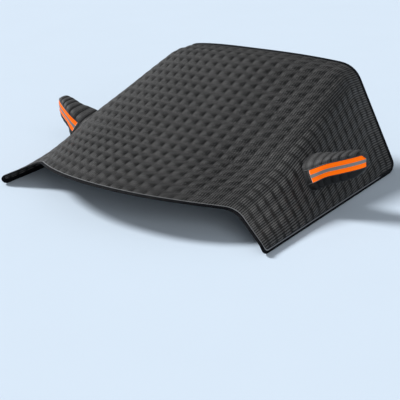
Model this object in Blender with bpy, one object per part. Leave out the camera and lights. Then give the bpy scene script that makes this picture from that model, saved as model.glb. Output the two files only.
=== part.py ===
# Quilted windscreen frost cover in the shape that a car's front gives it.
# X is across the car, -Y is the hood end, +Z is up, and the side hems lie at z = 0.

import bpy
import bmesh
import numpy as np
from mathutils import Vector
from mathutils.geometry import delaunay_2d_cdt

# Centre line, from the hood hem over the windscreen to the roof
HOOD_HEM_HEIGHT = 0.215
COWL_HEIGHT = 0.306
HEADER_HEIGHT = 0.635
ROOF_EDGE_HEIGHT = 0.641
HOOD_RUN = 0.475
GLASS_RUN = 0.855
ROOF_RUN = 0.180
COWL_RADIUS = 0.450
HEADER_RADIUS = 0.260

# Half widths between the shoulders, where the side flaps turn down
FRONT_HALF_WIDTH = 0.725
COWL_HALF_WIDTH = 0.785
REAR_HALF_WIDTH = 0.635
WIDEST_SHARE = 0.40

# How far the shoulders lie below the centre line, and behind it
FRONT_DROP = 0.058
COWL_DROP = 0.051
REAR_DROP = 0.062
FRONT_BOW = 0.230
COWL_BOW = 0.146
REAR_BOW = 0.117
CROWN_POWER = 2.6
BOW_POWER = 2.3
FRONT_SHOULDER_BLEND = 0.078
REAR_SHOULDER_BLEND = 0.094

# Side hems
HEM_HALF_WIDTH = 0.970
HEM_SETBACK = 0.113
HEM_LENGTH = 1.390
PLUMB_HEIGHT = 0.050
PLUMB_BLEND = 0.024
CORNER_RADIUS = 0.060

# Quilting
QUILT_PITCH = 0.078
EDGE_THICKNESS = 0.0024
VALLEY_RISE = 0.0015
PILLOW_RISE = 0.0100
LINING_RISE = 0.0045
STITCH_MARGIN = 0.014

# Tape folded round the whole edge
BINDING_WIDTH = 0.022
BINDING_THICKNESS = 0.0009
SEAM_GAP = 0.0003
EDGE_FOLD = SEAM_GAP + BINDING_THICKNESS

# Mirror pockets
POCKET_SHARE = 0.445
POCKET_ABOVE_HEM = 0.253
POCKET_ROOT_LENGTH = 0.200
POCKET_ROOT_HEIGHT = 0.166
POCKET_TIP_LENGTH = 0.105
POCKET_TIP_HEIGHT = 0.157
POCKET_REACH = 1.152
POCKET_SWEEP = 0.080
POCKET_RISE = 0.085
POCKET_THICKNESS = 0.004
POCKET_TURN_IN = 0.006
POCKET_FRONT_SQUARENESS = 3.8
POCKET_BACK_SQUARENESS = 2.4
POCKET_NOSE = 0.001
POCKET_BLUNT_START = 7
POCKET_BLUNT_POWER = 0.4
POCKET_FLARE_SHARE = 0.45
POCKET_RIBS = 6
POCKET_RIB_RISE = 0.004
RIBS_START = 0.04
RIBS_END = 0.88
TIP_STEPS = (0.0145, 0.0044)

# Warning tape on the pockets
TAPE_WIDTH = 0.070
TAPE_RAISE = 0.012
TAPE_THICKNESS = 0.0005
SILVER_WIDTH = 0.019
SILVER_THICKNESS = 0.0003
TAPE_FROM_FLAP = 0.029
TAPE_FROM_TIP = 0.0145
TAPE_EDGES = 4

# Fineness of the meshes
TABLE_STEP = 0.006
TABLE_ROWS = 120
TABLE_MARGIN = 0.040
NORMAL_STEP = 0.005
CROWN_POINTS = 30
LINE_BEND_POINTS = 10
SHOULDER_BEND_POINTS = 14
KNEE_BEND_POINTS = 8
LONGEST_BEND_SHARE = 0.95
SHOULDER_STEP = 0.024
STRAIGHT_STEP = 0.066
CORNER_STEPS = 6
OUTLINE_ROWS = 40
POCKET_BACK_POINTS = 12
HIGHEST_LEVEL = 0.9
SHARP_ANGLE = 50


def clear_scene():
    for item in list(bpy.data.objects):
        bpy.data.objects.remove(item, do_unlink=True)


def bend(before, corner, after, reach, steps):
    # A soft bend that leaves one leg and joins the other at the same distance from the corner
    before, corner, after = (np.array(p, float) for p in (before, corner, after))
    back = before - corner
    ahead = after - corner
    start = corner + back * min(reach / np.linalg.norm(back), LONGEST_BEND_SHARE)
    end = corner + ahead * min(reach / np.linalg.norm(ahead), LONGEST_BEND_SHARE)
    k = np.linspace(0, 1, steps)[:, None]
    return (1 - k) ** 2 * start + 2 * k * (1 - k) * corner + k ** 2 * end


def bend_reach(before, corner, after, radius):
    # Tangent length of a bend of a given radius
    back = np.array(before, float) - corner
    ahead = np.array(after, float) - corner
    cosine = back @ ahead / np.linalg.norm(back) / np.linalg.norm(ahead)
    return radius / np.tan(np.arccos(np.clip(cosine, -1, 1)) / 2)


def lengths(points):
    steps = np.linalg.norm(np.diff(points, axis=0), axis=1)
    return np.concatenate([[0], np.cumsum(steps)])


def centre_line():
    hem = (0, HOOD_HEM_HEIGHT)
    cowl = (HOOD_RUN, COWL_HEIGHT)
    header = (HOOD_RUN + GLASS_RUN, HEADER_HEIGHT)
    roof = (HOOD_RUN + GLASS_RUN + ROOF_RUN, ROOF_EDGE_HEIGHT)
    cowl_reach = bend_reach(hem, cowl, header, COWL_RADIUS)
    header_reach = bend_reach(cowl, header, roof, HEADER_RADIUS)
    cowl_bend = bend(hem, cowl, header, cowl_reach, LINE_BEND_POINTS)
    header_bend = bend(cowl, header, roof, header_reach, LINE_BEND_POINTS)
    return np.vstack([[hem], cowl_bend, header_bend, [roof]])


def along(front, widest, rear, share):
    # Eases from the front value to the one at the cowl, then runs straight to the rear one
    k = np.clip(share / WIDEST_SHARE, 0, 1)
    k = k * k * (3 - 2 * k)
    back = np.clip((share - WIDEST_SHARE) / (1 - WIDEST_SHARE), 0, 1)
    return front + (widest - front) * k + (rear - widest) * back


def half_section(share, centre_y, centre_z):
    # One side of the cover, from the centre line over the shoulder and down to the hem
    width = along(FRONT_HALF_WIDTH, COWL_HALF_WIDTH, REAR_HALF_WIDTH, share)
    drop = along(FRONT_DROP, COWL_DROP, REAR_DROP, share)
    bow = along(FRONT_BOW, COWL_BOW, REAR_BOW, share)
    blend = FRONT_SHOULDER_BLEND + (REAR_SHOULDER_BLEND - FRONT_SHOULDER_BLEND) * share
    k = np.linspace(0, 1, CROWN_POINTS)[:, None]
    crown = np.hstack([width * k, centre_y + bow * k ** BOW_POWER, centre_z - drop * k ** CROWN_POWER])
    shoulder = crown[-1]
    hem = np.array([HEM_HALF_WIDTH, HEM_SETBACK + HEM_LENGTH * share, 0])
    knee = hem + np.array([0, 0, PLUMB_HEIGHT])
    run = lengths(crown)
    blend_start = run[-1] - blend
    before = np.array([np.interp(blend_start, run, crown[:, axis]) for axis in range(3)])
    upper = crown[run < blend_start - SEAM_GAP]
    shoulder_bend = bend(before, shoulder, knee, blend, SHOULDER_BEND_POINTS)
    shoulder_bend[0] = before
    knee_bend = bend(shoulder, knee, hem, PLUMB_BLEND, KNEE_BEND_POINTS)
    below = hem - np.array([0, 0, TABLE_MARGIN])
    points = np.vstack([upper, shoulder_bend, knee_bend, [hem], [below]])
    run = lengths(points)
    bend_end = len(upper) + SHOULDER_BEND_POINTS - 1
    return points, run, run[-2], run[len(upper)], run[bend_end]


class Panel:
    # The draped sheet: s is the length across it from the centre line, t the length from the hood hem

    def __init__(self):
        line = centre_line()
        run = lengths(line)
        self.length = run[-1]
        self.rows = np.linspace(0, self.length, TABLE_ROWS)
        centre_y = np.interp(self.rows, run, line[:, 0])
        centre_z = np.interp(self.rows, run, line[:, 1])
        sections = [half_section(t / self.length, y, z)
                    for t, y, z in zip(self.rows, centre_y, centre_z)]
        self.half = np.array([section[2] for section in sections])
        self.blend_start = np.array([section[3] for section in sections])
        self.blend_end = np.array([section[4] for section in sections])
        self.across = np.arange(0, self.half.max() + TABLE_MARGIN, TABLE_STEP)
        self.table = np.array([[np.interp(self.across, section[1], section[0][:, axis])
                                for axis in range(3)] for section in sections])
        self.table = self.table.transpose(0, 2, 1)
        edge = self.table[:, :, 1]
        inside = self.across[None, :] <= self.half[:, None]
        self.shift = -(edge[inside].min() + edge[inside].max()) / 2
        self.lift = EDGE_FOLD
        self.table[:, :, 1] += self.shift
        self.table[:, :, 2] += self.lift

    def half_width(self, t):
        return np.interp(t, self.rows, self.half)

    def point(self, s, t):
        s = np.asarray(s, float)
        t = np.clip(np.asarray(t, float), 0, self.length)
        row = np.clip(t / self.rows[1], 0, TABLE_ROWS - 1.000001)
        column = np.clip(np.abs(s) / TABLE_STEP, 0, len(self.across) - 1.000001)
        i = row.astype(int)
        j = column.astype(int)
        a = (row - i)[..., None]
        b = (column - j)[..., None]
        near = self.table[i, j] * (1 - b) + self.table[i, j + 1] * b
        far = self.table[i + 1, j] * (1 - b) + self.table[i + 1, j + 1] * b
        place = near * (1 - a) + far * a
        place[..., 0] *= np.where(s < 0, -1, 1)
        return place

    def normal(self, s, t):
        s = np.asarray(s, float)
        t = np.asarray(t, float)
        across = self.point(s + NORMAL_STEP, t) - self.point(s - NORMAL_STEP, t)
        after = np.minimum(t + NORMAL_STEP, self.length)
        before = np.maximum(t - NORMAL_STEP, 0)
        ahead = self.point(s, after) - self.point(s, before)
        normal = np.cross(across, ahead)
        return normal / np.linalg.norm(normal, axis=-1, keepdims=True)

    def raised(self, flat, height):
        flat = np.asarray(flat, float)
        height = np.asarray(height, float)
        return self.point(flat[:, 0], flat[:, 1]) + self.normal(flat[:, 0], flat[:, 1]) * height[..., None]


def even(start, end, step):
    # Even steps from start up to, and without, end
    count = max(1, round(abs(end - start) / step))
    return np.linspace(start, end, count, endpoint=False)


def round_corner(before, corner, after, radius):
    # A true arc between two straight edges
    before, corner, after = (np.array(p, float) for p in (before, corner, after))
    back = (before - corner) / np.linalg.norm(before - corner)
    ahead = (after - corner) / np.linalg.norm(after - corner)
    reach = bend_reach(before, corner, after, radius)
    middle = back + ahead
    centre = corner + middle / np.linalg.norm(middle) * np.hypot(reach, radius)
    start = corner + back * reach - centre
    end = corner + ahead * reach - centre
    turn = np.arctan2(start[0] * end[1] - start[1] * end[0], start @ end)
    angles = np.linspace(0, turn, CORNER_STEPS + 1)
    c, s = np.cos(angles), np.sin(angles)
    return centre + np.stack([c * start[0] - s * start[1], s * start[0] + c * start[1]], 1)


def panel_outline(panel):
    # The cut edge of the flat panel, anticlockwise from the middle of the hood hem
    rows = np.linspace(0, panel.length, OUTLINE_ROWS)
    side = np.stack([panel.half_width(rows), rows], 1)
    front_corner = round_corner((0, 0), side[0], side[3], CORNER_RADIUS)
    rear_corner = round_corner(side[-4], side[-1], (0, panel.length), CORNER_RADIUS)
    front_stops = [0, panel.blend_start[0], panel.blend_end[0], front_corner[0][0]]
    rear_stops = [rear_corner[-1][0], panel.blend_end[-1], panel.blend_start[-1], 0]
    steps = (STRAIGHT_STEP, SHOULDER_STEP, STRAIGHT_STEP)
    front = np.concatenate([even(a, b, step)
                            for a, b, step in zip(front_stops, front_stops[1:], steps)])
    rear = np.concatenate([even(a, b, step)
                           for a, b, step in zip(rear_stops, rear_stops[1:], steps)])
    climb = even(front_corner[-1][1], rear_corner[0][1], STRAIGHT_STEP)[1:]
    right_half = np.vstack([
        np.stack([front, np.zeros_like(front)], 1),
        front_corner,
        np.stack([panel.half_width(climb), climb], 1),
        rear_corner,
        np.stack([rear, np.full_like(rear, panel.length)], 1)[1:],
        [[0, panel.length]]])
    right_half[:, 0] = np.minimum(right_half[:, 0], panel.half_width(right_half[:, 1]))
    left_half = right_half[-2:0:-1] * [-1, 1]
    return np.vstack([right_half, left_half])


def inward(outline):
    # Unit vectors that point into an anticlockwise outline
    tangent = np.roll(outline, -1, axis=0) - np.roll(outline, 1, axis=0)
    tangent /= np.linalg.norm(tangent, axis=1)[:, None]
    return np.stack([-tangent[:, 1], tangent[:, 0]], 1)


def is_inside(points, outline):
    points = np.asarray(points, float)
    result = np.zeros(len(points), bool)
    for a, b in zip(outline, np.roll(outline, -1, axis=0)):
        crosses = (a[1] > points[:, 1]) != (b[1] > points[:, 1])
        rise = b[1] - a[1] if b[1] != a[1] else 1e-12
        result ^= crosses & (points[:, 0] < (b[0] - a[0]) * (points[:, 1] - a[1]) / rise + a[0])
    return result


def distance_to(points, outline):
    points = np.asarray(points, float)
    nearest = np.full(len(points), 1e9)
    for a, b in zip(outline, np.roll(outline, -1, axis=0)):
        edge = b - a
        k = np.clip((points - a) @ edge / (edge @ edge), 0, 1)
        nearest = np.minimum(nearest, np.linalg.norm(points - a - k[:, None] * edge, axis=1))
    return nearest


def quilt_grid(panel, rim, seams):
    # Stitch crossings and pillow middles that lie clear of the rim and the pocket seams
    columns = int(panel.half.max() / QUILT_PITCH) + 1
    rows = int(panel.length / QUILT_PITCH) + 1
    crossings = {}
    middles = []
    for i in range(-columns, columns + 1):
        for j in range(rows + 1):
            crossings[i, j] = ((i + 0.5) * QUILT_PITCH, j * QUILT_PITCH)
            middles.append((i * QUILT_PITCH, (j + 0.5) * QUILT_PITCH))

    def clear(points):
        keep = is_inside(points, rim) & (distance_to(points, rim) > STITCH_MARGIN)
        for seam in seams:
            keep &= ~is_inside(points, seam) & (distance_to(points, seam) > STITCH_MARGIN)
        return keep

    keys = list(crossings)
    kept = clear([crossings[key] for key in keys])
    crossings = {key: crossings[key] for key, keep in zip(keys, kept) if keep}
    kept = clear(middles)
    middles = [middle for middle, keep in zip(middles, kept) if keep]
    return crossings, middles


def fill(rim, seams, crossings, middles):
    # Triangles between the rim and the pocket seams, with an edge along every stitch line
    points = [tuple(p) for p in rim]
    edges = ring_edges(0, len(rim))
    for seam in seams:
        edges += ring_edges(len(points), len(seam))
        points += [tuple(p) for p in seam]
    index = {}
    for key, place in crossings.items():
        index[key] = len(points)
        points.append(place)
    points += middles
    for (i, j), start in index.items():
        for neighbour in ((i + 1, j), (i, j + 1)):
            if neighbour in index:
                edges.append((start, index[neighbour]))
    result = delaunay_2d_cdt([Vector(p) for p in points], edges, [], 0, 1e-7)
    corners = np.array([tuple(p) for p in result[0]])
    triangles = np.array([list(face) for face in result[2]])
    source = [origin[0] for origin in result[3]]
    middle = corners[triangles].mean(axis=1)
    keep = is_inside(middle, rim)
    for seam in seams:
        keep &= ~is_inside(middle, seam)
    named = [[source[corner] for corner in triangle] for triangle in triangles[keep]]
    return np.array(points), named


def ring_edges(first, count):
    return [(first + k, first + (k + 1) % count) for k in range(count)]


def new_object(name, mesh, material):
    mesh.materials.append(material)
    piece = bpy.data.objects.new(name, mesh)
    bpy.context.collection.objects.link(piece)
    return piece


def halves(a, b, c, d):
    # A twisted four-sided face, always split from its first corner to its third
    return [(a, b, c), (a, c, d)]


def mesh_from(name, points, faces):
    mesh = bpy.data.meshes.new(name)
    mesh.from_pydata([tuple(p) for p in points], [], [tuple(f) for f in faces])
    shape = bmesh.new()
    shape.from_mesh(mesh)
    bmesh.ops.recalc_face_normals(shape, faces=shape.faces)
    if shape.calc_volume(signed=True) < 0:
        bmesh.ops.reverse_faces(shape, faces=shape.faces)
    shape.to_mesh(mesh)
    shape.free()
    mesh.shade_smooth()
    mesh.set_sharp_from_angle(angle=np.radians(SHARP_ANGLE))
    return mesh


def fabric(name, colour, roughness, metallic=0.0):
    material = bpy.data.materials.new(name)
    material.use_nodes = True
    shader = material.node_tree.nodes["Principled BSDF"]
    shader.inputs["Base Color"].default_value = (*colour, 1)
    shader.inputs["Roughness"].default_value = roughness
    shader.inputs["Metallic"].default_value = metallic
    material.diffuse_color = (*colour, 1)
    return material


def side_skin(panel, outline, rim, seams, pillow, valley, direction):
    # One face of the sheet, outer or lining, from the cut edge to the pocket seams
    crossings, middles = quilt_grid(panel, rim, seams)
    flat, triangles = fill(rim, seams, crossings, middles)
    seam_count = sum(len(seam) for seam in seams)
    heights = np.concatenate([
        np.full(len(rim) + seam_count, EDGE_THICKNESS / 2),
        np.full(len(crossings), valley),
        np.full(len(middles), pillow)])
    flat = np.vstack([outline, flat])
    heights = np.concatenate([np.full(len(outline), EDGE_THICKNESS / 2), heights])
    count = len(outline)
    faces = [[count + corner for corner in triangle] for triangle in triangles]
    for k, (a, b) in enumerate(ring_edges(0, count)):
        faces += halves(a, b, count + b, count + a)
    return panel.raised(flat, direction * heights), faces


def quilted_cover(panel, outline, seams, material):
    rim = outline + inward(outline) * (BINDING_WIDTH + 2 * SEAM_GAP)
    count = len(outline)
    top, top_faces = side_skin(panel, outline, rim, seams, PILLOW_RISE, VALLEY_RISE, 1)
    lining, lining_faces = side_skin(panel, outline, rim, seams, LINING_RISE, VALLEY_RISE, -1)
    faces = list(top_faces)
    faces += [[len(top) + corner for corner in face] for face in lining_faces]
    first = [0]
    sizes = [count]
    start = 2 * count
    for seam in seams:
        first.append(start)
        sizes.append(len(seam))
        start += len(seam)
    for ring_start, size in zip(first, sizes):
        for a, b in ring_edges(ring_start, size):
            faces += halves(a, len(top) + a, len(top) + b, b)
    mesh = mesh_from("quilted_cover", np.vstack([top, lining]), faces)
    return new_object("quilted_cover", mesh, material)


def edge_binding(panel, outline, material):
    # A tape folded over the cut edge: eight corners at each station round the cover
    inner = EDGE_THICKNESS / 2 + SEAM_GAP
    outer = inner + BINDING_THICKNESS
    corners = [(BINDING_WIDTH, outer), (-EDGE_FOLD, outer), (-EDGE_FOLD, -outer), (BINDING_WIDTH, -outer),
               (BINDING_WIDTH, -inner), (-SEAM_GAP, -inner), (-SEAM_GAP, inner), (BINDING_WIDTH, inner)]
    towards = inward(outline)
    edge = panel.point(outline[:, 0], outline[:, 1])
    probe = outline + towards * NORMAL_STEP
    way_in = panel.point(probe[:, 0], probe[:, 1]) - edge
    way_in /= np.linalg.norm(way_in, axis=1)[:, None]
    rings = []
    for depth, height in corners:
        flat = outline + towards * max(depth, 0)
        place = panel.raised(flat, np.full(len(flat), height))
        if depth < 0:
            place = place + way_in * depth
        rings.append(place)
    points = np.stack(rings, 1).reshape(-1, 3)
    size = len(corners)
    faces = []
    for a, b in ring_edges(0, len(outline)):
        for ends in ring_edges(0, size):
            c, d = sorted(ends, key=lambda corner: corners[corner][0])
            faces += halves(a * size + c, a * size + d, b * size + d, b * size + c)
    return new_object("edge_binding", mesh_from("edge_binding", points, faces), material)


def pocket_section(half_height):
    # Corners round a pocket as shares of its half length and half height: flat in front, round behind.
    # The first few are on the front, at the lower and upper edges of the two tapes.
    levels = TAPE_RAISE + np.array([-TAPE_WIDTH, -SILVER_WIDTH, SILVER_WIDTH, TAPE_WIDTH]) / 2
    front = []
    for level in levels:
        up = np.clip(level / half_height, -HIGHEST_LEVEL, HIGHEST_LEVEL)
        front.append((-(1 - abs(up) ** POCKET_FRONT_SQUARENESS) ** (1 / POCKET_FRONT_SQUARENESS), up))
    start = np.arctan2(front[-1][1], front[-1][0])
    end = np.arctan2(front[0][1], front[0][0]) % (2 * np.pi) - 2 * np.pi
    angles = np.linspace(start, end, POCKET_BACK_POINTS + 2)[1:-1]
    rest = []
    for angle in angles:
        c, s = np.cos(angle), np.sin(angle)
        power = POCKET_FRONT_SQUARENESS if c < 0 else POCKET_BACK_SQUARENESS
        size = (abs(c) ** power + abs(s) ** power) ** (-1 / power)
        rest.append((c * size, s * size))
    return np.array(front + rest)


def pocket_root(panel, grow):
    # The seam line on the flat panel where a pocket is sewn in, seen on the +X flap
    t = POCKET_SHARE * panel.length
    s = panel.half_width(t) - POCKET_ABOVE_HEM
    half_length = POCKET_ROOT_LENGTH / 2
    half_height = POCKET_ROOT_HEIGHT / 2
    shape = pocket_section(half_height)
    return np.stack([s - shape[:, 1] * (half_height + grow), t + shape[:, 0] * (half_length + grow)], 1)


def rib_rise(reach):
    # Height of the quilted ribs, from the stitched groove at 0 to the next crest and down again
    share = (reach - RIBS_START) / (RIBS_END - RIBS_START) * POCKET_RIBS
    if not 0 < share < POCKET_RIBS:
        return 0.0
    return POCKET_RIB_RISE * (1 - abs(2 * (share % 1) - 1))


def pocket_base(panel, inset):
    # The pocket's first ring, its centre, and how far the tip stands out from there
    root = pocket_root(panel, -inset)
    base = panel.raised(root, np.full(len(root), POCKET_TURN_IN))
    centre = base.mean(axis=0)
    return base, centre, POCKET_REACH - centre[0]


def pocket_ring(panel, reach, inset, ribbed):
    # One ring of the pocket's wall, 0 at the flap and 1 at the tip
    base, centre, full = pocket_base(panel, inset)
    share = reach * (full - inset) / full
    blunt = (1 - reach ** POCKET_BLUNT_START) ** POCKET_BLUNT_POWER
    half_length = (POCKET_ROOT_LENGTH + (POCKET_TIP_LENGTH - POCKET_ROOT_LENGTH) * reach) / 2 * blunt
    half_height = (POCKET_ROOT_HEIGHT + (POCKET_TIP_HEIGHT - POCKET_ROOT_HEIGHT) * reach) / 2 * blunt
    shape = pocket_section(half_height)
    half_length -= inset
    half_height -= inset
    swell = np.full(len(shape), rib_rise(reach) if ribbed else 0.0)
    swell[:TAPE_EDGES] = 0
    section = np.stack([
        np.full(len(shape), centre[0] + full * share),
        centre[1] + POCKET_SWEEP * reach + shape[:, 0] * (half_length + swell),
        centre[2] + POCKET_RISE * reach + shape[:, 1] * (half_height + swell)], 1)
    follow = np.clip(reach / POCKET_FLARE_SHARE, 0, 1)
    follow = follow * follow * (3 - 2 * follow)
    lean = base + np.array([full * share, POCKET_SWEEP * reach, POCKET_RISE * reach])
    lean[:, 1:] += shape * swell[:, None]
    return lean * (1 - follow) + section * follow


def tape_ends(panel):
    full = pocket_base(panel, 0.0)[2]
    return TAPE_FROM_FLAP / full, 1 - TAPE_FROM_TIP / full


def pocket_stations(panel):
    # The flap, the grooves and crests of the ribs, the rounded tip, and the two ends of the tape
    full = pocket_base(panel, 0.0)[2]
    ribs = np.linspace(RIBS_START, RIBS_END, 2 * POCKET_RIBS + 1)
    tips = [1 - step / full for step in TIP_STEPS]
    return sorted({0.0, *ribs.tolist(), *tips, *tape_ends(panel)})


def mirrored(points, side):
    return np.asarray(points) * [side, 1, 1]


def mirror_pocket(panel, side, material):
    name = "mirror_pocket_" + ("left" if side > 0 else "right")
    stations = pocket_stations(panel)
    rings = []
    for inset, ribbed in ((0.0, True), (POCKET_THICKNESS, False)):
        root = pocket_root(panel, -inset)
        depths = (-POCKET_TURN_IN, -EDGE_THICKNESS / 2, EDGE_THICKNESS / 2)
        wall = [panel.raised(root, np.full(len(root), depth)) for depth in depths]
        wall += [pocket_ring(panel, reach, inset, ribbed) for reach in stations]
        rings.append(wall)
    outer, inner = rings
    size = len(outer[0])
    tips = [ring[-1].mean(axis=0) + [POCKET_NOSE, 0, 0] for ring in (outer, inner)]
    points = np.vstack(outer + inner + tips)
    faces = []
    for wall in range(2):
        first = wall * len(outer) * size
        for k in range(len(outer) - 1):
            for a, b in ring_edges(0, size):
                ring = first + k * size
                faces += halves(ring + a, ring + b, ring + size + b, ring + size + a)
        last = first + (len(outer) - 1) * size
        pole = len(points) - 2 + wall
        faces += [[last + a, last + b, pole] for a, b in ring_edges(0, size)]
    for a, b in ring_edges(0, size):
        faces += halves(a, b, len(outer) * size + b, len(outer) * size + a)
    mesh = mesh_from(name, mirrored(points, side), faces)
    return new_object(name, mesh, material)


def tape(panel, side, name, columns, lift, thickness, material):
    # A band on the pocket's front, between two of the levels that the pocket's corners keep
    start, end = tape_ends(panel)
    reaches = [reach for reach in pocket_stations(panel) if start <= reach <= end]
    surface = np.array([pocket_ring(panel, reach, 0.0, False)[:TAPE_EDGES] for reach in reaches])
    ahead = np.gradient(surface, axis=0)
    up = np.gradient(surface, axis=1)
    outward = np.cross(ahead, up)
    outward /= np.linalg.norm(outward, axis=2)[..., None]
    if outward[..., 1].mean() > 0:
        outward = -outward
    surface, outward = surface[:, columns], outward[:, columns]
    low = surface + outward * lift
    high = surface + outward * (lift + thickness)
    rows, width = surface.shape[:2]
    points = np.vstack([low.reshape(-1, 3), high.reshape(-1, 3)])
    count = rows * width
    faces = []
    for i in range(rows - 1):
        for j in range(width - 1):
            a = i * width + j
            for first in (a, count + a):
                faces += halves(first, first + 1, first + width + 1, first + width)
    rim = list(range(width))
    rim += [i * width + width - 1 for i in range(1, rows)]
    rim += [(rows - 1) * width + j for j in range(width - 2, -1, -1)]
    rim += [i * width for i in range(rows - 2, 0, -1)]
    for a, b in zip(rim, rim[1:] + rim[:1]):
        faces += halves(a, b, count + b, count + a)
    full_name = name + ("_left" if side > 0 else "_right")
    mesh = mesh_from(full_name, mirrored(points, side), faces)
    return new_object(full_name, mesh, material)


def pocket_seams(panel):
    # The two openings in the flaps, a seam's gap larger than the pockets that pass through them
    right = pocket_root(panel, SEAM_GAP)
    return [right, right * [-1, 1]]


def build():
    clear_scene()
    panel = Panel()
    outline = panel_outline(panel)
    quilt = fabric("quilt_fabric", (0.055, 0.055, 0.057), 0.62)
    tape_black = fabric("binding_tape", (0.018, 0.019, 0.022), 0.55)
    pocket_fabric = fabric("pocket_fabric", (0.035, 0.035, 0.037), 0.62)
    orange = fabric("orange_tape", (1.0, 0.17, 0.004), 0.5)
    silver = fabric("silver_tape", (0.42, 0.43, 0.45), 0.35, 0.2)
    quilted_cover(panel, outline, pocket_seams(panel), quilt)
    edge_binding(panel, outline, tape_black)
    for side in (1, -1):
        mirror_pocket(panel, side, pocket_fabric)
        tape(panel, side, "orange_tape", range(TAPE_EDGES), SEAM_GAP, TAPE_THICKNESS, orange)
        tape(panel, side, "silver_tape", (1, 2), 2 * SEAM_GAP + TAPE_THICKNESS, SILVER_THICKNESS, silver)


build()
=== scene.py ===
import math

import bmesh
import bpy
import numpy as np
from mathutils import Matrix, Vector


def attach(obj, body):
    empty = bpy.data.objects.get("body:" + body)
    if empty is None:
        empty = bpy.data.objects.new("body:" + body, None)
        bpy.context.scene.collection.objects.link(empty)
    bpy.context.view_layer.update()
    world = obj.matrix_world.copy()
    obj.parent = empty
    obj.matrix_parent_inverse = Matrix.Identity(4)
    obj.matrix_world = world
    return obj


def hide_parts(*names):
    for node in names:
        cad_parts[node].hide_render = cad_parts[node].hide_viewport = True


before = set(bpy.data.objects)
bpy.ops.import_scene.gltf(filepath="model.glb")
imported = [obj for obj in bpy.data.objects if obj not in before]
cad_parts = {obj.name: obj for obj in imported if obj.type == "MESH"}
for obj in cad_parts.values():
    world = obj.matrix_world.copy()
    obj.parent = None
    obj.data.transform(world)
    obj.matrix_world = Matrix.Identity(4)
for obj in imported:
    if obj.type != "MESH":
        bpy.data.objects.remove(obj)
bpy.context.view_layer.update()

print("frame loaded with", len(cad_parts), "nodes")

# The draped sheet: the same sizes as the CAD solid, in metres
drape = {
    "hoodHemHeight": 0.215, "cowlHeight": 0.306, "headerHeight": 0.635, "roofEdgeHeight": 0.641,
    "hoodRun": 0.475, "glassRun": 0.855, "roofRun": 0.180, "cowlRadius": 0.450, "headerRadius": 0.260,
    "width": (0.725, 0.785, 0.635), "drop": (0.058, 0.051, 0.062), "bow": (0.230, 0.146, 0.117),
    "widestShare": 0.40, "crownPower": 2.6, "bowPower": 2.3, "shoulderBlend": (0.078, 0.094),
    "hemHalfWidth": 0.970, "hemSetback": 0.113, "hemLength": 1.390, "plumbHeight": 0.050, "plumbBlend": 0.024,
    "cornerRadius": 0.060, "edgeFold": 0.0012, "tableStep": 0.006, "tableRows": 120, "margin": 0.040,
    "normalStep": 0.005, "bendShare": 0.95, "bendSteps": 10, "crownSteps": 30, "shoulderSteps": 14,
    "kneeSteps": 8, "leastGap": 0.0003, "lastCell": 1.000001,
}


def softBend(before, corner, after, reach, steps):
    before, corner, after = (np.array(p, float) for p in (before, corner, after))
    back, ahead = before - corner, after - corner
    start = corner + back * min(reach / np.linalg.norm(back), drape["bendShare"])
    end = corner + ahead * min(reach / np.linalg.norm(ahead), drape["bendShare"])
    k = np.linspace(0, 1, steps)[:, None]
    return (1 - k) ** 2 * start + 2 * k * (1 - k) * corner + k ** 2 * end


def bendReach(before, corner, after, radius):
    back, ahead = np.array(before, float) - corner, np.array(after, float) - corner
    cosine = back @ ahead / np.linalg.norm(back) / np.linalg.norm(ahead)
    return radius / math.tan(math.acos(cosine) / 2)


def runLengths(points):
    return np.concatenate([[0], np.cumsum(np.linalg.norm(np.diff(points, axis=0), axis=1))])


def centreLine():
    hem = (0, drape["hoodHemHeight"])
    cowl = (drape["hoodRun"], drape["cowlHeight"])
    header = (cowl[0] + drape["glassRun"], drape["headerHeight"])
    roof = (header[0] + drape["roofRun"], drape["roofEdgeHeight"])
    steps = drape["bendSteps"]
    cowlBend = softBend(hem, cowl, header, bendReach(hem, cowl, header, drape["cowlRadius"]), steps)
    headerBend = softBend(cowl, header, roof, bendReach(cowl, header, roof, drape["headerRadius"]), steps)
    return np.vstack([[hem], cowlBend, headerBend, [roof]])


def along(values, share):
    # a value between those at the hood hem, at the widest place and at the roof hem
    front, widest, rear = values
    k = min(max(share / drape["widestShare"], 0), 1)
    back = min(max((share - drape["widestShare"]) / (1 - drape["widestShare"]), 0), 1)
    return front + (widest - front) * k * k * (3 - 2 * k) + (rear - widest) * back


def halfSection(share, centreY, centreZ):
    width, drop, bow = (along(drape[key], share) for key in ("width", "drop", "bow"))
    blend = drape["shoulderBlend"][0] + (drape["shoulderBlend"][1] - drape["shoulderBlend"][0]) * share
    k = np.linspace(0, 1, drape["crownSteps"])[:, None]
    crown = np.hstack([width * k, centreY + bow * k ** drape["bowPower"],
                       centreZ - drop * k ** drape["crownPower"]])
    hem = np.array([drape["hemHalfWidth"], drape["hemSetback"] + drape["hemLength"] * share, 0])
    knee = hem + [0, 0, drape["plumbHeight"]]
    run = runLengths(crown)
    blendStart = run[-1] - blend
    before = np.array([np.interp(blendStart, run, crown[:, axis]) for axis in range(3)])
    shoulder = softBend(before, crown[-1], knee, blend, drape["shoulderSteps"])
    shoulder[0] = before
    kneeBend = softBend(crown[-1], knee, hem, drape["plumbBlend"], drape["kneeSteps"])
    pastHem = hem - [0, 0, drape["margin"]]
    points = np.vstack([crown[run < blendStart - drape["leastGap"]], shoulder, kneeBend, [hem], [pastHem]])
    run = runLengths(points)
    return points, run, run[-2]


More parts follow.
